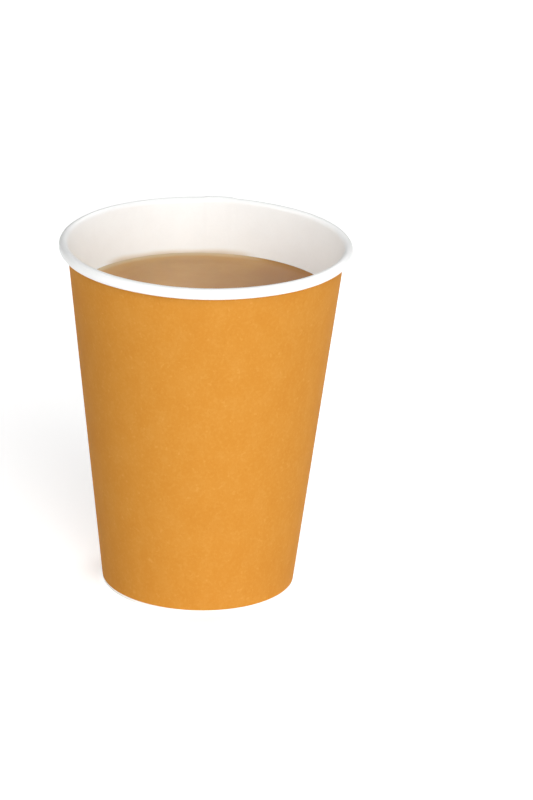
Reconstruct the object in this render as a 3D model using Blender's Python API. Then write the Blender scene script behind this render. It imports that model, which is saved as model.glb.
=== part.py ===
"""A 12 oz single-wall paper cup of masala chai, in metres, standing on z = 0 with +Z up.

The cup is two pieces of coated board. The side blank is wrapped to a cone with a lapped seam
at the back, rolled outwards at the top into the rim, and folded in and up at the foot round the
skirt of the base disc. The chai fills it to a little below the rim. Every piece is turned about
Z from an outline in (radius, height).
"""

from math import atan2, cos, exp, hypot, pi, radians, sin, tan

import bmesh
import bpy

# Driving dimensions
RIM_DIAMETER = 0.090  # over the rolled rim
CUP_HEIGHT = 0.1112  # from the table to the top of the rim
WALL_ANGLE = radians(6.58)  # lean of the side from the cup's axis
BOARD = 0.0004  # thickness of the coated board
ROLL_WIDTH = 0.0029  # the rolled rim, across
ROLL_HEIGHT = 0.0035  # the rolled rim, up and down
ROLL_TURN = radians(380)  # how far the edge is rolled
CHAI_LEVEL = 0.093  # height of the drink above the table

# The foot
FOLD_RADIUS = 0.00045  # corners of the fold that the cup stands on
HEM_TOP = 0.0066  # height of the blank's folded-in edge
BASE_PLANE = 0.0078  # middle of the base disc's board
BASE_BEND = 0.0008  # bend between the base disc and its skirt
SKIRT_FOOT = 0.0011  # lower edge of the skirt
PRINT_MARGIN = 0.0013  # bare white board below the print

# The lapped seam, at the back of the cup
SEAM_AZIMUTH = radians(80)  # its sharp edge, counted from +X
SEAM_STEP = 0.0003  # how far the lap stands out
SEAM_EDGE = radians(0.2)  # the cut edge of the outer layer
SEAM_LAP = radians(9.8)  # the doubled board
SEAM_RAMP = radians(3.0)  # where the outer layer comes down beside the lap
SEAM_FOOT = (0.0039, 0.0078)  # heights between which the step grows in above the foot
SEAM_TOP = (0.002, 0.001)  # depths below the roll between which it dies out on the wall
SEAM_ON_ROLL = (radians(-70), radians(-40))  # round the roll, where it comes back
SEAM_OFF_ROLL = (radians(120), radians(160))  # and where it ends inside the rim
SAME_ANGLE = radians(0.01)

# The drink's edge
MENISCUS_HEIGHT = 0.0007
MENISCUS_WIDTH = 0.0012
MENISCUS_POINTS = (0.35, 0.8, 1.5, 3.0, 6.0)  # distances from the edge, in its widths

# Clearance between neighbouring pieces, and fineness of the turned shapes
GAP = 0.0003
MERGE = 1e-6
TURN_STEPS = 64
LAP_STEPS = 2
ROLL_STEPS = 24
FOLD_POINTS = 5
BEND_POINTS = 6
WALL_ROWS = 4

# The roll's middle line: half its width and half its height
ROLL_A = (ROLL_WIDTH - BOARD) / 2
ROLL_B = (ROLL_HEIGHT - BOARD) / 2
ROLL_Z = CUP_HEIGHT - ROLL_HEIGHT / 2
ROLL_R = RIM_DIAMETER / 2 - ROLL_WIDTH / 2
ROLL_FOOT = ROLL_Z - ROLL_HEIGHT / 2
ROLL_START = pi - WALL_ANGLE  # where the wall runs into the roll
ROLL_CLOSING = radians(30)  # past this angle below its middle the roll draws in behind itself
ROLL_CLEARANCE = 0.00005  # extra room for its inner turn
WALL_TOP = ROLL_Z + ROLL_B * sin(ROLL_START)

# Colours, and the sharpest bends that are still shaded smooth
WHITE = (0.86, 0.85, 0.82)
OCHRE = (0.77, 0.34, 0.055)
MILKY_BROWN = (0.50, 0.29, 0.13)
BOARD_CREASE = radians(40)
DRINK_CREASE = radians(50)


def wall_radius(z):
    """Radius of the middle of the wall's board at height z."""
    top_r = ROLL_R + ROLL_A * cos(ROLL_START)
    return top_r - (WALL_TOP - z) * tan(WALL_ANGLE)


def arc(centre, radius, start, end, count):
    """Points on a round arc, both ends included."""
    angles = [start + (end - start) * i / (count - 1) for i in range(count)]
    return [(centre[0] + radius * cos(a), centre[1] + radius * sin(a)) for a in angles]


def smooth(value, low, high):
    """0 below low, 1 above high, and an even S between them."""
    t = min(1.0, max(0.0, (value - low) / (high - low)))
    return t * t * (3 - 2 * t)


def ribbon(path, thickness):
    """The left and the right face of a strip of board whose middle follows path."""
    left, right = [], []
    last = len(path) - 1
    for i, (r, z) in enumerate(path):
        before, after = path[max(i - 1, 0)], path[min(i + 1, last)]
        dr, dz = after[0] - before[0], after[1] - before[1]
        shift = thickness / 2 / hypot(dr, dz)
        left.append((r - dz * shift, z + dr * shift))
        right.append((r + dz * shift, z - dr * shift))
    return left, right


def roll_path():
    """The rolled rim: most of a turn at full size, then drawn in so that it passes behind the wall."""
    points = []
    for i in range(1, ROLL_STEPS + 1):
        angle = ROLL_START - ROLL_TURN * i / ROLL_STEPS
        drawn_in = (BOARD + GAP + ROLL_CLEARANCE) * smooth(-angle, ROLL_CLOSING, pi)
        r = ROLL_R + (ROLL_A - drawn_in) * cos(angle)
        z = ROLL_Z + (ROLL_B - drawn_in) * sin(angle)
        points.append((r, z))
    return points


def side_path():
    """Middle line of the side blank: down the hem, round the fold, up the wall and round the roll."""
    hem_shift = 2 * (BOARD + GAP)
    corner_z = BOARD / 2 + FOLD_RADIUS
    inner_start = corner_z + FOLD_RADIUS * sin(WALL_ANGLE)
    outer_end = corner_z - FOLD_RADIUS * sin(WALL_ANGLE)
    reach = FOLD_RADIUS * cos(WALL_ANGLE)
    inner = (wall_radius(inner_start) - hem_shift + reach, corner_z)
    outer = (wall_radius(outer_end) - reach, corner_z)
    hem = [(wall_radius(HEM_TOP) - hem_shift, HEM_TOP)]
    fold_in = arc(inner, FOLD_RADIUS, pi - WALL_ANGLE, 1.5 * pi, FOLD_POINTS)
    fold_out = arc(outer, FOLD_RADIUS, -pi / 2, -WALL_ANGLE, FOLD_POINTS)
    rows = [WALL_TOP * i / WALL_ROWS for i in range(1, WALL_ROWS)]
    heights = [PRINT_MARGIN, *rows, WALL_TOP - ROLL_HEIGHT, WALL_TOP]
    wall = [(wall_radius(z), z) for z in heights]
    return hem + fold_in + fold_out + wall + roll_path()


def base_path():
    """Middle line of the base disc: from the axis out, over the bend and down the skirt."""
    bend_z = BASE_PLANE - BASE_BEND
    bend_end = bend_z - BASE_BEND * sin(WALL_ANGLE)
    skirt_shift = BOARD + GAP
    bend_r = wall_radius(bend_end) - skirt_shift - BASE_BEND * cos(WALL_ANGLE)
    bend = arc((bend_r, bend_z), BASE_BEND, pi / 2, -WALL_ANGLE, BEND_POINTS)
    foot = (wall_radius(SKIRT_FOOT) - skirt_shift, SKIRT_FOOT)
    return [(0.0, BASE_PLANE)] + bend + [foot]


def chai_outline():
    """The drink: from the axis out along the base, up the wall, and over the meniscus to the axis."""
    bottom = BASE_PLANE + BOARD / 2 + GAP
    outline = [(0.0, bottom)]
    for z in (bottom, CHAI_LEVEL / 2, CHAI_LEVEL + MENISCUS_HEIGHT):
        outline.append((wall_radius(z) - BOARD / 2 - GAP, z))
    edge = outline[-1][0]
    for widths in MENISCUS_POINTS:
        height = CHAI_LEVEL + MENISCUS_HEIGHT * exp(-widths)
        outline.append((edge - widths * MENISCUS_WIDTH, height))
    outline.append((0.0, CHAI_LEVEL))
    return outline


def seam_height(azimuth):
    """Share of the seam's step at an azimuth: up at the cut edge, level on the lap, down the ramp."""
    a = azimuth % (2 * pi) - SEAM_AZIMUTH
    return 1.0 if -SAME_ANGLE < a < SEAM_LAP + SAME_ANGLE else 0.0


def seam_direction(r, z):
    """Which way, and how strongly, the lap lifts a point of the side blank, as (radial, vertical)."""
    if z < ROLL_FOOT:
        grown_in = smooth(z, *SEAM_FOOT)
        died_out = 1 - smooth(z, ROLL_FOOT - SEAM_TOP[0], ROLL_FOOT - SEAM_TOP[1])
        return (grown_in * died_out, 0.0) if r > wall_radius(z) else (0.0, 0.0)
    dr, dz = (r - ROLL_R) / ROLL_A, (z - ROLL_Z) / ROLL_B
    length = hypot(dr, dz)
    angle = atan2(dz, dr)
    strength = smooth(angle, *SEAM_ON_ROLL) * (1 - smooth(angle, *SEAM_OFF_ROLL))
    return (strength * dr / length, strength * dz / length) if length > 1 else (0.0, 0.0)


def turn(outline, closed, sectors, start=0.0):
    """A mesh turned about Z from an outline in (radius, height), through sectors of (angle, steps)."""
    mesh = bmesh.new()
    points = [mesh.verts.new((r * cos(start), r * sin(start), z)) for r, z in outline]
    pairs = list(zip(points, points[1:]))
    if closed:
        pairs.append((points[-1], points[0]))
    geometry = points + [mesh.edges.new(pair) for pair in pairs]
    for angle, steps in sectors:
        turned = bmesh.ops.spin(
            mesh, geom=geometry, cent=(0, 0, 0), axis=(0, 0, 1), dvec=(0, 0, 0),
            angle=angle, steps=steps, use_merge=False, use_duplicate=False,
        )
        geometry = turned["geom_last"]
    bmesh.ops.remove_doubles(mesh, verts=mesh.verts, dist=MERGE)
    bmesh.ops.recalc_face_normals(mesh, faces=mesh.faces)
    return mesh


def surface(name, colour, roughness):
    """A material of one plain colour."""
    material = bpy.data.materials.new(name)
    material.use_nodes = True
    shader = material.node_tree.nodes["Principled BSDF"]
    shader.inputs["Base Color"].default_value = (*colour, 1.0)
    shader.inputs["Roughness"].default_value = roughness
    shader.inputs["Metallic"].default_value = 0.0
    return material


def add_piece(name, mesh, parent, materials, crease):
    """Turns a bmesh into a named object under parent, smooth but for bends sharper than crease."""
    data = bpy.data.meshes.new(name)
    mesh.to_mesh(data)
    mesh.free()
    for material in materials:
        data.materials.append(material)
    data.shade_smooth()
    data.set_sharp_from_angle(angle=crease)
    piece = bpy.data.objects.new(name, data)
    bpy.context.scene.collection.objects.link(piece)
    piece.parent = parent


def build_side(parent, white, printed):
    """The side blank with its seam, rolled rim and folded foot, printed on the outside."""
    left, right = ribbon(side_path(), BOARD)
    plain = 2 * pi - SEAM_EDGE - SEAM_LAP - SEAM_RAMP
    plain_steps = round(plain * TURN_STEPS / (2 * pi))
    sectors = [(SEAM_EDGE, 1), (SEAM_LAP, LAP_STEPS), (SEAM_RAMP, 1), (plain, plain_steps)]
    mesh = turn(right + left[::-1], True, sectors, SEAM_AZIMUTH - SEAM_EDGE)
    for vert in mesh.verts:
        x, y, z = vert.co
        r = hypot(x, y)
        step = SEAM_STEP * seam_height(atan2(y, x))
        radial, vertical = seam_direction(r, z)
        spread = 1 + step * radial / r
        vert.co = (x * spread, y * spread, z + step * vertical)
    for face in mesh.faces:
        centre = face.calc_center_median()
        outside = hypot(centre.x, centre.y) > wall_radius(centre.z)
        face.material_index = int(outside and PRINT_MARGIN < centre.z < ROLL_FOOT)
    add_piece("cup_wall", mesh, parent, [white, printed], BOARD_CREASE)


def build_base(parent, white):
    """The base disc with its skirt turned down inside the hem."""
    left, right = ribbon(base_path(), BOARD)
    left[0], right[0] = (0.0, left[0][1]), (0.0, right[0][1])
    mesh = turn(left + right[::-1], False, [(2 * pi, TURN_STEPS)])
    add_piece("cup_base", mesh, parent, [white], BOARD_CREASE)


def build_chai(parent, brown):
    """The drink, up to its level."""
    mesh = turn(chai_outline(), False, [(2 * pi, TURN_STEPS)])
    add_piece("chai", mesh, parent, [brown], DRINK_CREASE)


def main():
    """Clears the scene and builds the cup and its drink under one empty."""
    for old in list(bpy.data.objects):
        bpy.data.objects.remove(old)
    cup = bpy.data.objects.new("masala_chai", None)
    bpy.context.scene.collection.objects.link(cup)
    white = surface("white_board", WHITE, 0.45)
    printed = surface("printed_board", OCHRE, 0.6)
    brown = surface("chai", MILKY_BROWN, 0.15)
    build_side(cup, white, printed)
    build_base(cup, white)
    build_chai(cup, brown)


main()
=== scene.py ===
"""Looks of a paper cup of masala chai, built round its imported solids, in metres with +Z up.

The side blank, the base disc and the chai are each turned about Z from a profile in (radius,
height). Small departures from the round are formulas of azimuth and height: the lapped seam, the
knurl pressed into the hem, and the slight unevenness of wound board.
"""

import logging
from dataclasses import dataclass
from enum import IntEnum
from math import cos, pi, radians, sin, tan
from typing import Any, Union

import bmesh
import bpy
import numpy as np
from mathutils import Matrix, Vector


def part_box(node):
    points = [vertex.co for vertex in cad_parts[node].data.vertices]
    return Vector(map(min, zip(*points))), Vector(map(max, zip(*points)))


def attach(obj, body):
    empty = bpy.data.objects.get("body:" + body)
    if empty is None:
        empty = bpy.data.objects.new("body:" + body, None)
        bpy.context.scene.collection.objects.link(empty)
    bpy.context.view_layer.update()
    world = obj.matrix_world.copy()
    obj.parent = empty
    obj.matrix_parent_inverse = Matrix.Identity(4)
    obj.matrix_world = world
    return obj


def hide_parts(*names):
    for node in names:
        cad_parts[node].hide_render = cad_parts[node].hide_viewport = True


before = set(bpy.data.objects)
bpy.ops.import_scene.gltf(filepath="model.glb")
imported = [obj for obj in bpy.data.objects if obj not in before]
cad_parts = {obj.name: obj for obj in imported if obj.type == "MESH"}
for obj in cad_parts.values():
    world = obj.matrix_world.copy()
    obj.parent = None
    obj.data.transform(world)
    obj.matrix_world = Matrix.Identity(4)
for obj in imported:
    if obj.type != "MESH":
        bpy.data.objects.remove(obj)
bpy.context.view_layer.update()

Array = np.ndarray
Colour = tuple[float, float, float]
XYZ = tuple[float, float, float]
Waves = tuple[tuple[float, int, float], ...]
Finishes = list[bpy.types.Material]
Value = Union["Signal", float, tuple]

log = logging.getLogger("chai_cup")

BODY = "root"
TURN = 2 * pi
MM = 0.001
UP = (0.0, 0.0, 1.0)
PRINT_MARGIN = 1.3 * MM

# Numbers of the Mix node's sockets for colours, because several sockets share each name.
MIX_SHARE = 0
MIX_A = 6
MIX_B = 7
MIX_RESULT = 2


class BoardFace(IntEnum):
    """Material slots of the cup's board."""

    COATED = 0
    PRINTED = 1
    BARE = 2
    CUT = 3


# Arrays


def smooth(value: Array, low: float, high: float) -> Array:
    """A smoothstep: 3t^2 - 2t^3, where t runs from 0 at low to 1 at high.

    Args:
        value: Numbers to place between low and high.
        low: Where the result leaves 0.
        high: Where it reaches 1.

    Returns:
        Numbers from 0 to 1.
    """
    t = np.clip((value - low) / (high - low), 0.0, 1.0)
    return t * t * (3 - 2 * t)


def arc(centre: tuple[float, float], radius: tuple[float, float], angles: Array) -> Array:
    """Points on an ellipse: centre plus (half width times cosine, half height times sine).

    Args:
        centre: (radius, height) of the middle.
        radius: Half width and half height.
        angles: Where the points are, in radians.

    Returns:
        One (radius, height) row for each angle.
    """
    return np.stack([centre[0] + radius[0] * np.cos(angles), centre[1] + radius[1] * np.sin(angles)], 1)


def path_normals(path: Array) -> Array:
    """Unit normals on the left of a path: its central differences, turned a quarter turn.

    Args:
        path: (radius, height) rows in order.

    Returns:
        One normal for each row.
    """
    run = np.gradient(path, axis=0)
    run /= np.linalg.norm(run, axis=1, keepdims=True)
    return np.stack([-run[:, 1], run[:, 0]], 1)


def path_lengths(path: Array) -> Array:
    """Distance from the start of a path to each of its points, along it.

    Args:
        path: (radius, height) rows in order.

    Returns:
        A rising row of lengths that starts at 0.
    """
    steps = np.linalg.norm(np.diff(path, axis=0), axis=1)
    return np.concatenate([[0.0], np.cumsum(steps)])


def turned(radius: Array, height: Array, azimuth: Array) -> Array:
    """Points of a turned surface: (radius cosine, radius sine, height) at each azimuth.

    Args:
        radius: Rows along the profile by columns round the axis.
        height: The same rows and columns.
        azimuth: The columns' angles.

    Returns:
        An array of rows by columns by 3.
    """
    return np.stack([radius * np.cos(azimuth), radius * np.sin(azimuth), height], -1)


def waves(azimuth: Array, terms: Waves) -> Array:
    """A sum of cosines round the axis: height times cos(count times azimuth plus phase).

    Args:
        azimuth: The columns' angles.
        terms: The height, the count and the phase of each cosine.

    Returns:
        The sum at each angle.
    """
    return sum(height * np.cos(count * azimuth + phase) for height, count, phase in terms)


# Meshes


@dataclass
class Skin:
    """A grid of points that closes round the axis, with its faces, map and materials."""

    points: Array
    along: Array
    around: Array
    loop: bool = False
    poles: tuple[float, float] | None = None
    slots: Array | None = None

    def quads(self) -> tuple[Array, Array]:
        """Corners of the quads between neighbouring rows and columns, and where they lie on the map.

        Returns:
            Point indices of rows by columns by 4, and map positions of rows by columns by 4 by 2.
        """
        rows, columns = self.points.shape[:2]
        row = np.arange(rows if self.loop else rows - 1)[:, None, None]
        column = np.arange(columns)[None, :, None]
        down, right = np.array([0, 0, 1, 1]), np.array([0, 1, 1, 0])
        corners = (row + down) % rows * columns + (column + right) % columns
        places = np.stack(np.broadcast_arrays(self.around[column + right], self.along[row + down]), -1)
        return corners, places

    def mesh(self, name: str, crease: float) -> bpy.types.Mesh:
        """The mesh of the grid, with a fan of triangles to each pole, if there are poles.

        Args:
            name: Name of the mesh.
            crease: Sharpest bend that is shaded smooth.

        Returns:
            A closed mesh whose faces point outwards.
        """
        rows, columns = self.points.shape[:2]
        corners, places = self.quads()
        vertices = self.points.reshape(-1, 3)
        faces = corners.reshape(-1, 4).tolist()
        places = places.reshape(-1, 2)
        if self.poles is not None:
            vertices = np.concatenate([vertices, [(0.0, 0.0, height) for height in self.poles]])
            near = np.arange(columns)
            far = near + (rows - 1) * columns
            first, last = np.full(columns, rows * columns), np.full(columns, rows * columns + 1)
            faces += np.stack([first, np.roll(near, -1), near], 1).tolist()
            faces += np.stack([last, far, np.roll(far, -1)], 1).tolist()
            fan_corners = 2 * 3 * columns
            places = np.concatenate([places, np.zeros((fan_corners, 2))])
        mesh = bpy.data.meshes.new(name)
        mesh.from_pydata(vertices, [], faces)
        layer = mesh.uv_layers.new(name="board")
        layer.uv.foreach_set("vector", places.astype(np.float32).ravel())
        if self.slots is not None:
            mesh.polygons.foreach_set("material_index", self.slots.astype(np.int32).ravel())
        face_outwards(mesh)
        mesh.shade_smooth()
        mesh.set_sharp_from_angle(angle=crease)
        return mesh


def face_outwards(mesh: bpy.types.Mesh) -> None:
    """Flips a closed mesh that is inside out, so its signed volume is above 0.

    Args:
        mesh: The mesh.
    """
    shape = bmesh.new()
    shape.from_mesh(mesh)
    if shape.calc_volume(signed=True) < 0:
        mesh.flip_normals()
    shape.free()


def add_object(name: str, data: bpy.types.ID) -> bpy.types.Object:
    """Adds an object to the scene.

    Args:
        name: Its name.
        data: Its mesh, lamp or camera.

    Returns:
        The new object.
    """
    made = bpy.data.objects.new(name, data)
    bpy.context.scene.collection.objects.link(made)
    return made


def face_along(thing: bpy.types.Object, way: Vector) -> None:
    """Turns an object so that its Z axis points in a direction."""
    thing.rotation_mode = "QUATERNION"
    thing.rotation_quaternion = way.to_track_quat("Z", "Y")


def add_piece(mesh: bpy.types.Mesh, node: str, finishes: Finishes) -> bpy.types.Object:
    """Makes a mesh the piece that stands for a CAD node.

    Args:
        mesh: The finished mesh, in place.
        node: The CAD node that it stands for.
        finishes: Materials in the order of the mesh's slots.

    Returns:
        The new object.
    """
    piece = add_object(mesh.name, mesh)
    for finish in finishes:
        mesh.materials.append(finish)
    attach(piece, BODY)
    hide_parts(node)
    mesh.calc_loop_triangles()
    log.info("%s: %d triangles, for %s", piece.name, len(mesh.loop_triangles), node)
    return piece


# Shader nodes


@dataclass
class Signal:
    """A node's output. Arithmetic on it adds Math nodes."""

    sheet: "Sheet"
    socket: bpy.types.NodeSocket

    def math(self, operation: str, *values: Value) -> "Signal":
        """A Math node on these values."""
        return self.sheet.node("Math", dict(enumerate(values)), operation=operation)

    def __add__(self, other: Value) -> "Signal":
        """The sum."""
        return self.math("ADD", self, other)

    def __radd__(self, other: Value) -> "Signal":
        """The sum, with this signal second."""
        return self.math("ADD", other, self)

    def __sub__(self, other: Value) -> "Signal":
        """The difference."""
        return self.math("SUBTRACT", self, other)

    def __rsub__(self, other: Value) -> "Signal":
        """The difference, with this signal second."""
        return self.math("SUBTRACT", other, self)

    def __mul__(self, other: Value) -> "Signal":
        """The product."""
        return self.math("MULTIPLY", self, other)

    def ramp(self, low: float, high: float) -> "Signal":
        """An even S from 0 at low to 1 at high."""
        sockets = {"Value": self, "From Min": low, "From Max": high}
        return self.sheet.node("MapRange", sockets, interpolation_type="SMOOTHSTEP")


@dataclass
class Sheet:
    """One material's node tree, with short ways to add nodes to it. Lengths are in metres."""

    tree: bpy.types.NodeTree

    def node(self, kind: str, sockets: dict, output: int | str = 0, **settings: Any) -> Signal:
        """Adds one node.

        Args:
            kind: The node's type, without ShaderNode.
            sockets: Values or signals by the name or the number of the input.
            output: Name or number of the output that is wanted.
            **settings: The node's own settings, set before its sockets.

        Returns:
            The chosen output.
        """
        made = self.tree.nodes.new(f"ShaderNode{kind}")
        for setting, value in settings.items():
            setattr(made, setting, value)
        for key, value in sockets.items():
            if isinstance(value, Signal):
                self.tree.links.new(value.socket, made.inputs[key])
            else:
                made.inputs[key].default_value = value
        return Signal(self, made.outputs[output])

    def place(self) -> Signal:
        """Object coordinates."""
        return self.node("TexCoord", {}, "Object")

    def board_map(self) -> Signal:
        """The map of the flat board: round the cup, and along the strip."""
        return self.node("TexCoord", {}, "UV")

    def scaled(self, vector: Signal, scale: XYZ) -> Signal:
        """A vector stretched along each axis."""
        return self.node("VectorMath", {0: vector, 1: scale}, operation="MULTIPLY")

    def along(self, vector: Signal, way: XYZ) -> Signal:
        """How far a vector reaches in a direction."""
        return self.node("VectorMath", {0: vector, 1: way}, "Value", operation="DOT_PRODUCT")

    def noise(self, vector: Value, size: float, detail: float, roughness: float) -> Signal:
        """Smooth noise about 0.5.

        Args:
            vector: Where it is read.
            size: Its grain, in the vector's unit.
            detail: How many finer layers it has.
            roughness: How strong those are.

        Returns:
            Numbers mostly between 0.3 and 0.7.
        """
        sockets = {"Vector": vector, "Scale": 1 / size, "Detail": detail, "Roughness": roughness}
        return self.node("TexNoise", sockets)

    def mix(self, share: Value, a: Value, b: Value) -> Signal:
        """A colour between a, at share 0, and b, at share 1."""
        a, b = ((*c, 1.0) if isinstance(c, tuple) else c for c in (a, b))
        return self.node("Mix", {MIX_SHARE: share, MIX_A: a, MIX_B: b}, MIX_RESULT, data_type="RGBA")

    def bump(self, height: Signal, distance: float, strength: float) -> Signal:
        """A normal from a height.

        Args:
            height: Numbers from 0 to 1.
            distance: What 1 stands for, in metres.
            strength: How much of it shows.

        Returns:
            The normal.
        """
        return self.node("Bump", {"Height": height, "Distance": distance, "Strength": strength})


# Finishes


@dataclass(frozen=True)
class Grain:
    """A noise of one grain size, and the tint that it gives.

    The tint is 0 where the noise is under the first of its levels, and its weight over the second.
    """

    size: float
    levels: tuple[float, float] = (0.35, 0.70)
    weight: float = 1.0
    detail: float = 3.0
    roughness: float = 0.5

    def noise(self, sheet: Sheet, vector: Signal) -> Signal:
        """The noise itself, about 0.5."""
        return sheet.noise(vector, self.size, self.detail, self.roughness)

    def tint(self, noise: Signal) -> Signal:
        """The tint that a noise gives at these levels."""
        return noise.ramp(*self.levels) * self.weight


@dataclass(frozen=True)
class Finish:
    """A Principled material that its subclasses dress."""

    name: str = "finish"
    roughness: float = 0.5
    specular: float = 0.5

    def dress(self, sheet: Sheet) -> dict[str, Value]:
        """Values and signals for the shader's sockets. Each finish has its own."""
        return {}

    def material(self) -> bpy.types.Material:
        """Builds the material.

        Returns:
            A material of one Principled shader.
        """
        material = bpy.data.materials.new(self.name)
        material.use_nodes = True
        tree = material.node_tree
        tree.nodes.clear()
        sheet = Sheet(tree)
        sockets = {"Roughness": self.roughness, "Specular IOR Level": self.specular, **self.dress(sheet)}
        shader = sheet.node("BsdfPrincipled", sockets)
        out = tree.nodes.new("ShaderNodeOutputMaterial")
        tree.links.new(shader.socket, out.inputs["Surface"])
        return material


@dataclass(frozen=True)
class PrintedBoard(Finish):
    """Matt ochre ink on board: cloudy, with a fine fibre grain, over a bare margin at the foot."""

    name: str = "ochre_print"
    roughness: float = 0.75
    specular: float = 0.08
    ink: Colour = (0.520, 0.216, 0.028)
    thin_ink: Colour = (0.572, 0.270, 0.053)
    thick_ink: Colour = (0.468, 0.174, 0.019)
    board: Colour = (0.86, 0.85, 0.82)
    board_shade: Colour = (0.826, 0.816, 0.787)
    # The print's lower edge.
    edge_blur: float = 0.05 * MM
    edge_wander: float = 0.08 * MM
    wander_grain: Grain = Grain(0.9 * MM, detail=2.0)
    board_grain: Grain = Grain(0.8 * MM)
    # The first three thin the ink. The next two, and the gaps between the clouds, thicken it.
    clouds: Grain = Grain(5.5 * MM, (0.40, 0.72), 0.24, 3.0, 0.55)
    grain: Grain = Grain(1.1 * MM, (0.42, 0.75), 0.42, 3.0, 0.6)
    specks: Grain = Grain(1.6 * MM, (0.66, 0.76), 0.55, 1.0)
    fibres: Grain = Grain(0.55 * MM, (0.52, 0.78), 0.40, 4.0, 0.62)
    drifts: Grain = Grain(22 * MM, (0.45, 0.75), 0.12, 2.0)
    gap_levels: tuple[float, float] = (0.50, 0.80)
    gap_weight: float = 0.18
    fibre_stretch: XYZ = (1.0, 0.45, 1.0)
    cloud_stretch: XYZ = (1.0, 0.60, 1.0)
    grain_roughness: float = 0.18
    speck_roughness: float = 0.145
    relief_grain: Grain = Grain(0.35 * MM, weight=0.6, roughness=0.6)
    relief_depth: float = 0.06 * MM
    relief_strength: float = 0.6

    def dress(self, sheet: Sheet) -> dict[str, Value]:
        """Colour, roughness and normal of the print.

        Args:
            sheet: The material's sheet.

        Returns:
            Signals by the shader's socket.
        """
        place, flat = sheet.place(), sheet.board_map()
        fibres = self.fibres.noise(sheet, sheet.scaled(flat, self.fibre_stretch))
        clouds = self.clouds.noise(sheet, sheet.scaled(flat, self.cloud_stretch))
        drifts = self.drifts.noise(sheet, place)
        grain = self.grain.noise(sheet, place)
        specks = self.specks.tint(self.specks.noise(sheet, place))
        thin = self.clouds.tint(clouds) + self.grain.tint(grain) + specks
        gaps = (1 - clouds).ramp(*self.gap_levels) * self.gap_weight
        thick = self.fibres.tint(fibres) + self.drifts.tint(drifts) + gaps
        ink = sheet.mix(thick, sheet.mix(thin, self.ink, self.thin_ink), self.thick_ink)
        wander = (self.wander_grain.noise(sheet, place) - 0.5) * self.edge_wander
        height = sheet.along(place, UP) + wander
        printed = height.ramp(PRINT_MARGIN - self.edge_blur, PRINT_MARGIN + self.edge_blur)
        bare = sheet.mix(self.board_grain.noise(sheet, place), self.board, self.board_shade)
        relief = self.relief_grain
        height_map = relief.noise(sheet, flat) * relief.weight + grain * (1 - relief.weight)
        dull = (grain - 0.5) * self.grain_roughness + specks * self.speck_roughness
        return {
            "Base Color": sheet.mix(printed, bare, ink),
            "Roughness": self.roughness + dull,
            "Normal": sheet.bump(height_map, self.relief_depth, self.relief_strength),
        }


@dataclass(frozen=True)
class CoatedBoard(Finish):
    """White board under a thin satin coating, with painted warm light from the tea in a band on the wall
    above the drink.
    """

    name: str = "coated_board"
    roughness: float = 0.38
    specular: float = 0.45
    white: Colour = (0.848, 0.856, 0.850)
    shade: Colour = (0.822, 0.827, 0.819)
    clouds: Grain = Grain(6 * MM, (0.35, 0.70), 0.5)
    fibres: Grain = Grain(0.7 * MM, (0.45, 0.75), 0.4, 3.0, 0.6)
    fibre_roughness: float = 0.16
    relief_grain: Grain = Grain(0.9 * MM, weight=0.6, detail=2.0)
    relief_depth: float = 0.1 * MM
    relief_strength: float = 0.35
    # Painted warm light bounced from the tea, in a band on the wall above the drink: from its foot up, and
    # past two distances along its way.
    tea_painted_light_band: Colour = (0.56, 0.41, 0.24)
    painted_light_band_foot: float = 93.3 * MM
    painted_light_band_height: float = 2.4 * MM
    painted_light_band_way: XYZ = (-0.25, 0.97, 0.0)
    painted_light_band_side: tuple[float, float] = (31.5 * MM, 35.5 * MM)
    painted_light_band_edge: Grain = Grain(12 * MM, detail=2.0)
    painted_light_band_wander: float = 2.2 * MM
    painted_light_band_share: float = 0.75

    def painted_light_band(self, sheet: Sheet, place: Signal) -> Signal:
        """Share of the painted warm light bounced from the tea, in a band on the wall just above the drink,
        on one side.

        Args:
            sheet: The material's sheet.
            place: Object coordinates.

        Returns:
            The share of the painted light band's colour.
        """
        side = sheet.along(place, self.painted_light_band_way).ramp(*self.painted_light_band_side)
        wander = (self.painted_light_band_edge.noise(sheet, place) - 0.5) * self.painted_light_band_wander
        above = (sheet.along(place, UP) + wander).ramp(self.painted_light_band_foot, self.painted_light_band_foot + self.painted_light_band_height)
        return (1 - above) * side * self.painted_light_band_share

    def dress(self, sheet: Sheet) -> dict[str, Value]:
        """Colour, roughness and normal of the coating.

        Args:
            sheet: The material's sheet.

        Returns:
            Signals by the shader's socket.
        """
        place = sheet.place()
        clouds = self.clouds.noise(sheet, place)
        fibres = self.fibres.noise(sheet, place)
        mottle = self.clouds.tint(clouds) + self.fibres.tint(fibres)
        board = sheet.mix(mottle, self.white, self.shade)
        relief = self.relief_grain
        height_map = relief.noise(sheet, place) * relief.weight + clouds * (1 - relief.weight)
        return {
            # The board's colour, with painted warm light from the tea in a band above the drink.
            "Base Color": sheet.mix(self.painted_light_band(sheet, place), board, self.tea_painted_light_band),
            "Roughness": self.roughness + (fibres - 0.5) * self.fibre_roughness,
            "Normal": sheet.bump(height_map, self.relief_depth, self.relief_strength),
        }


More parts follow.
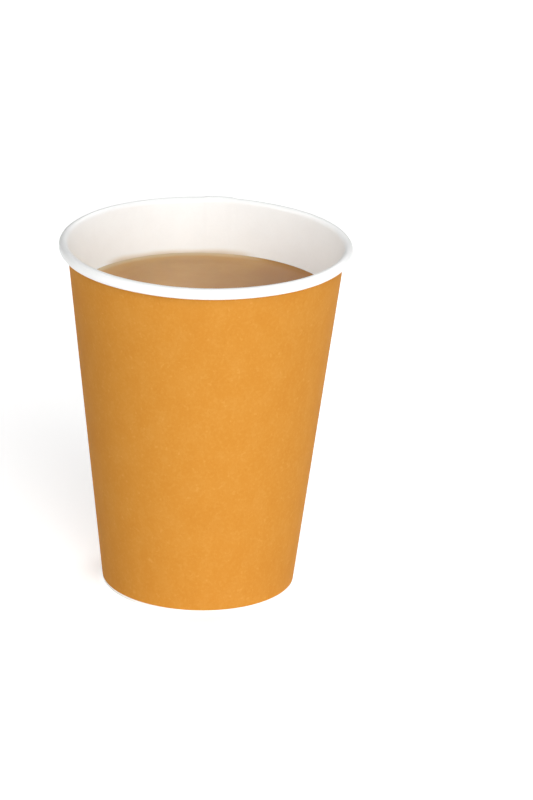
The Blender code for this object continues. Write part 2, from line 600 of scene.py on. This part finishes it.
@dataclass(frozen=True)
class BareBoard(Finish):
    """Uncoated white board, dull and a little cloudy, as under the cup."""

    name: str = "bare_board"
    roughness: float = 0.85
    specular: float = 0.3
    white: Colour = (0.84, 0.82, 0.775)
    shade: Colour = (0.76, 0.735, 0.68)
    clouds: Grain = Grain(3.5 * MM, (0.35, 0.70), 0.5, 4.0, 0.6)
    fibres: Grain = Grain(0.5 * MM, (0.45, 0.75), 0.5, 4.0, 0.65)
    fibre_stretch: XYZ = (0.35, 1.0, 1.0)
    fibre_roughness: float = 0.1
    relief_depth: float = 0.08 * MM
    relief_strength: float = 0.5

    def dress(self, sheet: Sheet) -> dict[str, Value]:
        """Colour, roughness and normal of the board.

        Args:
            sheet: The material's sheet.

        Returns:
            Signals by the shader's socket.
        """
        place = sheet.place()
        clouds = self.clouds.noise(sheet, place)
        fibres = self.fibres.noise(sheet, sheet.scaled(place, self.fibre_stretch))
        mottle = self.clouds.tint(clouds) + self.fibres.tint(fibres)
        return {
            "Base Color": sheet.mix(mottle, self.white, self.shade),
            "Roughness": self.roughness + (fibres - 0.5) * self.fibre_roughness,
            "Normal": sheet.bump(fibres, self.relief_depth, self.relief_strength),
        }


@dataclass(frozen=True)
class CutEdge(Finish):
    """The cut edge of the board: pale fibre in thin layers."""

    name: str = "cut_edge"
    roughness: float = 0.95
    specular: float = 0.2
    fibre: Colour = (0.80, 0.765, 0.69)
    layer: Colour = (0.66, 0.61, 0.52)
    fuzz: Grain = Grain(0.12 * MM, (0.40, 0.70), roughness=0.7)
    fuzz_stretch: XYZ = (1.0, 1.0, 0.25)
    relief_depth: float = 0.04 * MM
    relief_strength: float = 0.7

    def dress(self, sheet: Sheet) -> dict[str, Value]:
        """Colour and normal of the fibre.

        Args:
            sheet: The material's sheet.

        Returns:
            Signals by the shader's socket.
        """
        fuzz = self.fuzz.noise(sheet, sheet.scaled(sheet.place(), self.fuzz_stretch))
        return {
            "Base Color": sheet.mix(self.fuzz.tint(fuzz), self.fibre, self.layer),
            "Normal": sheet.bump(fuzz, self.relief_depth, self.relief_strength),
        }


@dataclass(frozen=True)
class MilkyTea(Finish):
    """Tea boiled with milk: opaque brown, still and wet, with painted shade darker on one side and a
    painted highlight paler near the wall.
    """

    name: str = "milky_tea"
    roughness: float = 0.07
    specular: float = 0.25
    refraction: float = 1.34
    tea: Colour = (0.443, 0.221, 0.058)
    creamy: Colour = (0.503, 0.279, 0.078)
    milk: Grain = Grain(16 * MM, (0.35, 0.72), 0.8, 3.0, 0.55)
    fat: Grain = Grain(1.6 * MM, (0.40, 0.80), 0.2, 2.0)
    fat_roughness: float = 0.15
    # Painted shade: a darker tea colour on one side, between two distances along its way.
    painted_shade: Colour = (0.305, 0.135, 0.034)
    painted_shade_way: XYZ = (0.877, -0.481, 0.0)
    painted_shade_side: tuple[float, float] = (-18.7 * MM, 24.2 * MM)
    # Painted highlight: paler tea in a broad band near the wall, and a paler band at its edge where it
    # meets the wall, faded where the painted shade is.
    wall: float = 40.3 * MM
    pale: Colour = (0.55, 0.35, 0.16)
    pale_width: float = 7.0 * MM
    pale_share: float = 0.7
    painted_light_band: Colour = (0.61, 0.46, 0.295)
    painted_light_band_width: float = 2.3 * MM
    painted_light_band_fade: float = 2.0
    # Swirls to the metre, and how far they push the clouds of milk.
    swirls: float = 30.0
    swirl_reach: float = 20 * MM
    # Light that spreads under the surface.
    spread: float = 0.35
    spread_reach: float = 4 * MM
    spread_colours: Colour = (1.0, 0.62, 0.32)

    def dress(self, sheet: Sheet) -> dict[str, Value]:
        """Colour, roughness and refraction of the drink, and the light that spreads in it.

        Args:
            sheet: The material's sheet.

        Returns:
            Values and signals by the shader's socket.
        """
        place = sheet.place()
        drift = sheet.node("VectorMath", {0: place, 1: self.swirl(sheet, place)}, operation="ADD")
        milk = self.milk.tint(self.milk.noise(sheet, drift))
        fat = self.fat.tint(self.fat.noise(sheet, place))
        # Painted shade: the share of the darker tea, rising across the drink along its way.
        painted_shade = sheet.along(drift, self.painted_shade_way).ramp(*self.painted_shade_side)
        level = sheet.scaled(place, (1.0, 1.0, 0.0))
        radius = sheet.node("VectorMath", {0: level}, "Value", operation="LENGTH")
        # Painted highlight: a broad pale band near the wall, and a paler band at the wall's edge that fades
        # out on the painted shade's side.
        broad_highlight = radius.ramp(self.wall - self.pale_width, self.wall) * self.pale_share
        edge_highlight = radius.ramp(self.wall - self.painted_light_band_width, self.wall) * (1 - painted_shade * self.painted_light_band_fade)
        milk_and_highlight = sheet.mix(broad_highlight, sheet.mix(milk + fat, self.tea, self.creamy), self.pale)
        return {
            "Base Color": sheet.mix(edge_highlight, sheet.mix(painted_shade, milk_and_highlight, self.painted_shade), self.painted_light_band),
            "Roughness": self.roughness + fat * self.fat_roughness,
            "IOR": self.refraction,
            "Subsurface Weight": self.spread,
            "Subsurface Radius": self.spread_colours,
            "Subsurface Scale": self.spread_reach,
        }

    def swirl(self, sheet: Sheet, place: Signal) -> Signal:
        """A slow sideways drift that bends the clouds of milk."""
        colour = sheet.node("TexNoise", {"Vector": place, "Scale": self.swirls, "Detail": 1.0}, "Color")
        return sheet.scaled(colour, (self.swirl_reach, self.swirl_reach, 0.0))


@dataclass(frozen=True)
class PaleFloor(Finish):
    """The seamless floor."""

    name: str = "pale_floor"
    roughness: float = 1.0
    specular: float = 0.0
    white: Colour = (0.72, 0.72, 0.72)
    glow: float = 0.74

    def dress(self, sheet: Sheet) -> dict[str, Value]:
        """Its plain colour, and the light that a lit backdrop adds to it."""
        white = (*self.white, 1.0)
        return {"Base Color": white, "Emission Color": white, "Emission Strength": self.glow}


# The cup and the drink


@dataclass(frozen=True)
class CupSizes:
    """Sizes that the cup's pieces share. The wall is a cone that runs into the rolled rim."""

    rim_radius: float
    height: float
    chai_level: float
    base_plane: float
    wall_angle: float = radians(6.58)
    board: float = 0.4 * MM
    roll_width: float = 2.9 * MM
    roll_height: float = 3.5 * MM
    seam_azimuth: float = radians(80)
    seam_step: float = 0.3 * MM
    meniscus_height: float = 0.7 * MM
    meniscus_width: float = 1.2 * MM
    # How far the wound board is from round, above the height at which it is still true.
    oval: Waves = ((0.10 * MM, 2, -0.9), (0.05 * MM, 3, 0.7))
    ripple: float = 0.03 * MM
    ripples: int = 5
    ripple_twist: float = 60.0
    round_foot: float = 12 * MM

    @classmethod
    def from_frame(cls) -> "CupSizes":
        """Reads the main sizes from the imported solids.

        Returns:
            The cup's sizes.
        """
        wall_high, chai_high, base_high = (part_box(node)[1] for node in ("cup_wall", "chai", "cup_base"))
        return cls(
            rim_radius=wall_high.x,
            height=wall_high.z - cls.seam_step,
            chai_level=chai_high.z - cls.meniscus_height,
            base_plane=base_high.z - cls.board / 2,
        )

    @property
    def roll_half(self) -> tuple[float, float]:
        """Half width and half height of the roll's middle line."""
        return (self.roll_width - self.board) / 2, (self.roll_height - self.board) / 2

    @property
    def roll_centre(self) -> tuple[float, float]:
        """(radius, height) of the middle of the roll."""
        return self.rim_radius - self.roll_width / 2, self.height - self.roll_height / 2

    @property
    def roll_start(self) -> float:
        """Angle at which the wall runs into the roll."""
        return pi - self.wall_angle

    @property
    def wall_top(self) -> float:
        """Height at which the wall runs into the roll."""
        return self.roll_centre[1] + self.roll_half[1] * sin(self.roll_start)

    def wall_radius(self, height: Any) -> Any:
        """Radius of the middle of the board: a cone through the start of the roll."""
        top_radius = self.roll_centre[0] + self.roll_half[0] * cos(self.roll_start)
        return top_radius - (self.wall_top - height) * tan(self.wall_angle)

    def unevenness(self, azimuth: Array, height: Array) -> Array:
        """How far wound board stands off the true cone: two, three and five slow waves, growing upwards.

        Args:
            azimuth: Columns round the cup.
            height: Heights, in the same shape or one that spreads to it.

        Returns:
            Radial shifts in metres.
        """
        ripple = self.ripple * np.cos(self.ripples * azimuth + self.ripple_twist * height)
        bulge = np.sin(pi * np.clip(height / self.height, 0, 1))
        return (waves(azimuth, self.oval) + ripple * bulge) * smooth(height, self.round_foot, self.height)


@dataclass(frozen=True)
class CupSide:
    """The side blank: hem, fold, wall and rolled rim in one strip of board, with the lapped seam."""

    sizes: CupSizes
    columns: int = 272
    lap_columns: int = 30
    ramp_columns: int = 7
    hem_rows: int = 9
    fold_rows: int = 9
    wall_rows: int = 26
    roll_rows: int = 58
    # The foot: its fold, and the hem inside.
    fold_radius: float = 0.45 * MM
    hem_top: float = 6.6 * MM
    hem_gap: float = 0.3 * MM
    # The roll: how far it turns, and where it starts to close behind the wall.
    roll_turn: float = radians(375)
    roll_closing: float = radians(40)
    roll_gap: float = 0.06 * MM
    # The seam: angles of the lap, of the ramps beside it and of its cut edge.
    lap: float = radians(9.8)
    lap_ramp: float = radians(3.0)
    lap_edge: float = radians(0.2)
    cut_columns: int = 2
    inner_step: float = 0.06 * MM
    inner_edge: float = radians(2.4)
    # Where its steps fade in and out: heights at the foot, rows about the wall's top, shares of the roll.
    foot_fade: tuple[float, float] = (0.5 * MM, 2.0 * MM)
    hem_share: float = 0.5
    rows_under_roll: int = 3
    rows_in_roll: int = 4
    wound_start: tuple[float, float] = (0.0, 0.22)
    wound_end: tuple[float, float] = (0.62, 0.80)
    inner_end: tuple[float, float] = (0.62, 0.85)
    # The knurl pressed into the hem, between two heights.
    knurls: int = 72
    knurl_depth: float = 0.07 * MM
    knurl_foot: tuple[float, float] = (1.3 * MM, 2.0 * MM)
    knurl_top: tuple[float, float] = (4.9 * MM, 5.6 * MM)
    # How far the rim rises and falls, from this share of the cup's height up.
    sway: Waves = ((0.06 * MM, 2, 0.5), (0.03 * MM, 7, 1.9))
    sway_foot: float = 0.3
    crease: float = radians(38)

    def roll(self) -> Array:
        """Middle line of the roll: an ellipse whose half axes shrink as it closes behind the wall.

        Returns:
            (radius, height) rows, past the wall's top.
        """
        half_width, half_height = self.sizes.roll_half
        angles = self.sizes.roll_start - self.roll_turn * np.arange(1, self.roll_rows + 1) / self.roll_rows
        drawn_in = (self.sizes.board + self.roll_gap) * smooth(-angles, self.roll_closing, pi)
        return arc(self.sizes.roll_centre, (half_width - drawn_in, half_height - drawn_in), angles)

    def strip(self) -> tuple[Array, Array]:
        """Middle line of the strip, from the top of the hem down, round the fold, and up to the roll's end.

        Returns:
            (radius, height) rows, and the row at which each stretch ends.
        """
        sizes, bend = self.sizes, self.fold_radius
        hem_shift = 2 * (sizes.board + self.hem_gap)
        corner = sizes.board / 2 + bend
        sink = bend * sin(sizes.wall_angle)
        reach = bend * cos(sizes.wall_angle)
        inner = (sizes.wall_radius(corner + sink) - hem_shift + reach, corner)
        outer = (sizes.wall_radius(corner - sink) - reach, corner)
        hem_heights = np.linspace(self.hem_top, corner + sink, self.hem_rows, endpoint=False)
        hem = np.stack([sizes.wall_radius(hem_heights) - hem_shift, hem_heights], 1)
        fold_in = arc(inner, (bend, bend), np.linspace(pi - sizes.wall_angle, 1.5 * pi, self.fold_rows))
        fold_out = arc(outer, (bend, bend), np.linspace(-pi / 2, -sizes.wall_angle, self.fold_rows))
        heights = np.linspace(PRINT_MARGIN, sizes.wall_top, self.wall_rows)
        wall = np.stack([sizes.wall_radius(heights), heights], 1)
        stretches = [hem, fold_in, fold_out, wall, self.roll()]
        return np.concatenate(stretches), np.cumsum([len(stretch) for stretch in stretches])

    def azimuths(self) -> Array:
        """Columns round the cup from the seam's cut edge, close together where the board steps.

        Returns:
            Angles counted from the seam, from minus the cut edge's width to just under a full turn.
        """
        cut = self.lap_edge * np.linspace(-1.0, 0.0, self.cut_columns + 1)
        lap = np.linspace(0.0, self.lap + self.lap_ramp, self.lap_columns + 1)[1:]
        rest = np.linspace(lap[-1], TURN - self.lap_ramp, self.columns + 1)[1:]
        back = np.linspace(rest[-1], TURN - self.lap_edge, self.ramp_columns + 1)[1:-1]
        return np.concatenate([cut, lap, rest, back])

    def outer_lap(self, turn: Array) -> Array:
        """Share of the outer step: up at once at the cut edge, level, and down the ramp past the lap."""
        return smooth(turn, -self.lap_edge, 0.0) * (1 - smooth(turn, self.lap, self.lap + self.lap_ramp))

    def inner_lap(self, turn: Array) -> Array:
        """Share of the inner step: up the ramp before the lap, level, and down past the inner edge."""
        signed = np.where(turn > pi, turn - TURN, turn)
        past = smooth(signed, self.lap, self.lap + self.inner_edge)
        return smooth(signed, -self.lap_ramp, 0.0) * (1 - past)

    def knurl(self, turn: Array, height: Array) -> Array:
        """Depth of the knurl: a cosine round the cup, between the fold and the hem's edge.

        Args:
            turn: Columns.
            height: Rows.

        Returns:
            Rows by columns, in metres.
        """
        band = smooth(height, *self.knurl_foot) * (1 - smooth(height, *self.knurl_top))
        return self.knurl_depth * band[:, None] * np.cos(self.knurls * turn)[None, :]

    def lifts(self, path: Array, ends: Array, turn: Array) -> tuple[Array, Array]:
        """How far each face is lifted off the even board: by the seam's steps, less the knurl on the hem.

        The outer face steps up where the blank laps over itself. The inner face steps only a little,
        and by the board's whole step where both layers are wound into the roll.

        Args:
            path: The strip's middle line.
            ends: The row at which each stretch of it ends.
            turn: Columns.

        Returns:
            Rows by columns of the outer face, and of the inner face.
        """
        hem_end, fold_end, _, wall_end, _ = ends
        row = np.arange(len(path))
        rolled = np.clip((row - wall_end) / self.roll_rows, 0, 1)
        foot = smooth(path[:, 1], *self.foot_fade)
        outer = foot * (1 - smooth(row, wall_end - self.rows_under_roll, wall_end + self.rows_in_roll))
        outer = np.where(row < fold_end, self.hem_share * foot, outer)
        wound = smooth(rolled, *self.wound_start) * (1 - smooth(rolled, *self.wound_end))
        inner = self.inner_step * (1 - wound) + self.sizes.seam_step * wound
        inner = inner * (row >= fold_end) * (1 - smooth(rolled, *self.inner_end))
        knurl = np.where((row < hem_end)[:, None], self.knurl(turn, path[:, 1]), 0.0)
        outer_lift = self.sizes.seam_step * outer[:, None] * self.outer_lap(turn)[None, :] - knurl
        return outer_lift, inner[:, None] * self.inner_lap(turn)[None, :]

    def slots(self, rows: int, columns: int, ends: Array) -> Array:
        """Finish of each face: printed outside, bare under the fold, coated inside, and cut at the edges.

        Args:
            rows: How many rows the strip's middle line has.
            columns: How many columns there are round the cup.
            ends: The row at which each stretch of the strip ends.

        Returns:
            A BoardFace for each face, out along the outer face and back along the inner one.
        """
        _, fold_end, _, wall_end, _ = ends
        slots = np.full((2 * rows, columns), BoardFace.COATED)
        slots[: rows - 1] = BoardFace.PRINTED
        slots[:fold_end] = BoardFace.BARE
        slots[fold_end:wall_end, : self.cut_columns] = BoardFace.CUT
        slots[[rows - 1, -1]] = BoardFace.CUT
        return slots

    def build(self, finishes: Finishes) -> bpy.types.Object:
        """Builds the side, with its outer face first and its inner face back again.

        Args:
            finishes: Materials in the order of BoardFace.

        Returns:
            The piece.
        """
        sizes = self.sizes
        path, ends = self.strip()
        turn = self.azimuths()
        azimuth = turn + sizes.seam_azimuth
        normals = path_normals(path)
        half = normals * sizes.board / 2
        rows = np.concatenate([path - half, (path + half)[::-1]])
        outwards = np.concatenate([-normals, normals[::-1]])
        outer_lift, inner_lift = self.lifts(path, ends, turn)
        lift = np.concatenate([outer_lift, inner_lift[::-1]])
        radius = rows[:, :1] + outwards[:, :1] * lift
        height = rows[:, 1:] + outwards[:, 1:] * lift
        radius = radius + sizes.unevenness(azimuth[None, :], height)
        sway = waves(azimuth, self.sway)[None, :]
        height = height + sway * smooth(height, self.sway_foot * sizes.height, sizes.height)
        lengths = path_lengths(path)
        skin = Skin(
            turned(radius, height, azimuth[None, :]),
            np.concatenate([lengths, lengths[::-1], lengths[:1]]),
            np.append(turn, turn[0] + TURN) * sizes.wall_radius(sizes.height / 2),
            loop=True,
            slots=self.slots(len(path), len(turn), ends),
        )
        return add_piece(skin.mesh("board_side", self.crease), "cup_wall", finishes)


@dataclass(frozen=True)
class BaseDisc:
    """The base: a disc whose edge is turned down inside the hem, drawn very slightly upwards."""

    sizes: CupSizes
    columns: int = 192
    disc_rows: int = 22
    bend_rows: int = 8
    skirt_rows: int = 6
    bend: float = 0.8 * MM
    skirt_foot: float = 1.1 * MM
    gap: float = 0.3 * MM
    dome: float = 0.22 * MM
    crease: float = radians(38)

    def strip(self) -> Array:
        """Middle line of the base: out from the axis, over the bend and down the skirt.

        Returns:
            (radius, height) rows.
        """
        sizes, bend = self.sizes, self.bend
        centre = sizes.base_plane - bend
        shift = sizes.board + self.gap
        bend_end = centre - bend * sin(sizes.wall_angle)
        edge = sizes.wall_radius(bend_end) - shift - bend * cos(sizes.wall_angle)
        radius = np.linspace(edge / self.disc_rows, edge, self.disc_rows, endpoint=False)
        rise = self.dome * (1 - (radius / edge) ** 2) ** 2
        disc = np.stack([radius, sizes.base_plane + rise], 1)
        over = arc((edge, centre), (bend, bend), np.linspace(pi / 2, -sizes.wall_angle, self.bend_rows))
        heights = np.linspace(bend_end, self.skirt_foot, self.skirt_rows + 1)[1:]
        skirt = np.stack([sizes.wall_radius(heights) - shift, heights], 1)
        return np.concatenate([disc, over, skirt])

    def build(self, finishes: Finishes) -> bpy.types.Object:
        """Builds the base disc.

        Args:
            finishes: Materials in the order of BoardFace.

        Returns:
            The piece.
        """
        path = self.strip()
        offset = path_normals(path) * self.sizes.board / 2
        rows = np.concatenate([path + offset, (path - offset)[::-1]])
        azimuth = TURN * np.arange(self.columns) / self.columns
        radius = np.repeat(rows[:, :1], self.columns, 1)
        height = np.repeat(rows[:, 1:], self.columns, 1)
        lengths = path_lengths(path)
        around = TURN * np.arange(self.columns + 1) / self.columns * self.sizes.wall_radius(0.0)
        slots = np.full((len(rows) - 1, self.columns), BoardFace.COATED)
        slots[len(path) - 1 :] = BoardFace.BARE
        slots[len(path) - 1] = BoardFace.CUT
        caps = np.repeat([BoardFace.COATED, BoardFace.BARE], self.columns)
        top = self.sizes.base_plane + self.dome
        skin = Skin(
            turned(radius, height, azimuth[None, :]),
            np.concatenate([lengths, lengths[::-1]]),
            around,
            poles=(top + self.sizes.board / 2, top - self.sizes.board / 2),
            slots=np.concatenate([slots.ravel(), caps]),
        )
        return add_piece(skin.mesh("base_disc", self.crease), "cup_base", finishes)


@dataclass(frozen=True)
class Chai:
    """The drink, up to its level, reaching just into the board so that no gap shows."""

    sizes: CupSizes
    columns: int = 240
    pool_rows: int = 26
    edge_rows: int = 24
    depth_rows: int = 8
    floor_rows: int = 4
    round_foot: float = 0.8
    into_wall: float = 0.15 * MM
    into_base: float = 0.1 * MM
    edge_reach: float = 6.0
    crease: float = radians(50)

    def outline(self) -> Array:
        """Profile from the axis along the base, up the wall, over the meniscus and in over the pool.

        The meniscus stands above the level by its height times exp(-distance / width).

        Returns:
            (radius, height) rows.
        """
        sizes = self.sizes
        bottom = sizes.base_plane + sizes.board / 2 - self.into_base
        climb = np.linspace(bottom, sizes.chai_level + sizes.meniscus_height, self.depth_rows)
        wall = sizes.wall_radius(climb) - sizes.board / 2 + self.into_wall
        floor = np.linspace(wall[0] / self.floor_rows, wall[0], self.floor_rows, endpoint=False)
        side = np.stack([np.append(floor, wall), np.append(np.full(self.floor_rows, bottom), climb)], 1)
        contact = wall[-1] - self.into_wall
        widths = self.edge_reach * (np.arange(self.edge_rows) / (self.edge_rows - 1)) ** 2
        edge_heights = sizes.chai_level + sizes.meniscus_height * np.exp(-widths)
        edge = np.stack([contact - widths * sizes.meniscus_width, edge_heights], 1)
        pool_radius = np.linspace(edge[-1, 0], 0.0, self.pool_rows + 1, endpoint=False)[1:]
        pool = np.stack([pool_radius, np.full(self.pool_rows, edge[-1, 1])], 1)
        return np.concatenate([side, edge, pool])

    def build(self, finishes: Finishes) -> bpy.types.Object:
        """Builds the drink.

        Args:
            finishes: Its one material.

        Returns:
            The piece.
        """
        sizes = self.sizes
        rows = self.outline()
        azimuth = TURN * np.arange(self.columns) / self.columns
        height = np.repeat(rows[:, 1:], self.columns, 1)
        round_radius = self.round_foot * sizes.wall_radius(0.0)
        share = smooth(rows[:, :1], round_radius, sizes.wall_radius(sizes.chai_level))
        radius = rows[:, :1] + share * sizes.unevenness(azimuth[None, :], height)
        skin = Skin(
            turned(radius, height, azimuth[None, :]),
            path_lengths(rows),
            TURN * np.arange(self.columns + 1) / self.columns * rows[:, 0].max(),
            poles=(rows[0, 1], rows[-1, 1]),
        )
        return add_piece(skin.mesh("chai_drink", self.crease), "chai", finishes)


@dataclass(frozen=True)
class Lamp:
    """A broad, far lamp. Its angles are in degrees: right of the camera, above the floor, and across."""

    name: str
    right: float
    above: float
    across: float
    strength: float

    def hang(self) -> None:
        """Adds the lamp to the scene."""
        data = bpy.data.lights.new(self.name, "SUN")
        data.energy = self.strength
        data.angle = radians(self.across)
        right, above = radians(self.right), radians(self.above)
        towards = Vector((cos(above) * sin(right), -cos(above) * cos(right), sin(above)))
        face_along(add_object(self.name, data), towards)


@dataclass(frozen=True)
class Snoot:
    """A small lamp in a tube: its beam goes down into the cup and passes over the outside."""

    place: XYZ = (-0.36, -0.13, 0.36)
    aim: XYZ = (0.040, 0.012, 0.104)
    beam: float = radians(10)
    fade: float = 0.8
    size: float = 0.03
    power: float = 3.9

    def hang(self) -> None:
        """Adds the lamp to the scene."""
        data = bpy.data.lights.new("snoot", "SPOT")
        data.energy = self.power
        data.spot_size = self.beam
        data.spot_blend = self.fade
        data.shadow_soft_size = self.size
        lamp = add_object("snoot", data)
        lamp.location = self.place
        face_along(lamp, Vector(self.place) - Vector(self.aim))


@dataclass(frozen=True)
class Studio:
    """A pale seamless floor, soft light, and a long lens a little above the cup."""

    distance: float = 1.3292
    elevation: float = 0.3667
    aim_height: float = 0.05624
    yaw: float = 0.0150
    pitch: float = 0.0025
    roll: float = 0.0254
    lens: float = 192.9
    sensor: float = 36.0
    sky: float = 0.02
    lamps: tuple[Lamp, ...] = (
        Lamp("key", 19, 17, 40, 1.95),
        Lamp("front", 25, 32, 40, 0.80),
        Lamp("high", 10, 50, 40, 0.65),
        Lamp("fill", -42, 38, 30, 0.27),
        Lamp("back_left", -118, 42, 30, 0.55),
        Lamp("back_right", 138, 35, 30, 1.12),
    )
    snoot: Snoot = Snoot()
    floor_size: float = 8.0

    def camera(self) -> None:
        """Places the camera: it looks at the axis from the front, then turns by yaw, pitch and roll."""
        back = np.array([0.0, -cos(self.elevation), sin(self.elevation)])
        rows = np.array([[1.0, 0.0, 0.0], [0.0, sin(self.elevation), cos(self.elevation)], -back])
        cos_yaw, sin_yaw = cos(self.yaw), sin(self.yaw)
        cos_pitch, sin_pitch = cos(self.pitch), sin(self.pitch)
        yaw = np.array([[cos_yaw, 0, -sin_yaw], [0, 1, 0], [sin_yaw, 0, cos_yaw]])
        pitch = np.array([[1, 0, 0], [0, cos_pitch, -sin_pitch], [0, sin_pitch, cos_pitch]])
        right, up, forward = pitch @ yaw @ rows
        turned_right = cos(self.roll) * right + sin(self.roll) * up
        turned_up = cos(self.roll) * up - sin(self.roll) * right
        place = np.array([0.0, 0.0, self.aim_height]) + back * self.distance
        matrix = np.eye(4)
        matrix[:3] = np.stack([turned_right, turned_up, -forward, place], 1)
        data = bpy.data.cameras.new("camera")
        data.lens = self.lens
        data.sensor_width = self.sensor
        camera = add_object("camera", data)
        camera.matrix_world = Matrix(matrix.tolist())
        bpy.context.scene.camera = camera

    def floor(self) -> None:
        """Lays the floor."""
        half = self.floor_size / 2
        mesh = bpy.data.meshes.new("floor")
        corners = [(-half, -half, 0), (half, -half, 0), (half, half, 0), (-half, half, 0)]
        mesh.from_pydata(corners, [], [(0, 1, 2, 3)])
        mesh.materials.append(PaleFloor().material())
        floor = add_object("floor", mesh)

    def light(self) -> None:
        """Hangs the lamps in an even pale surround."""
        world = bpy.data.worlds.new("surround")
        world.use_nodes = True
        background = world.node_tree.nodes["Background"]
        background.inputs["Color"].default_value = (1.0, 1.0, 1.0, 1.0)
        background.inputs["Strength"].default_value = self.sky
        bpy.context.scene.world = world
        for lamp in (*self.lamps, self.snoot):
            lamp.hang()

    def build(self) -> None:
        """Sets up the camera, the floor, the light and the way that colours are shown."""
        self.camera()
        self.floor()
        self.light()
        bpy.context.scene.view_settings.view_transform = "Standard"


def main() -> None:
    """Builds the cup, the drink and the studio, and reports them."""
    logging.basicConfig(level=logging.INFO, format="%(message)s")
    sizes = CupSizes.from_frame()
    log.info("frame: %s", ", ".join(sorted(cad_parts)))
    board = [finish.material() for finish in (CoatedBoard(), PrintedBoard(), BareBoard(), CutEdge())]
    CupSide(sizes).build(board)
    BaseDisc(sizes).build(board)
    Chai(sizes).build([MilkyTea().material()])
    Studio().build()
    bpy.context.view_layer.update()


if __name__ == "__main__":
    main()
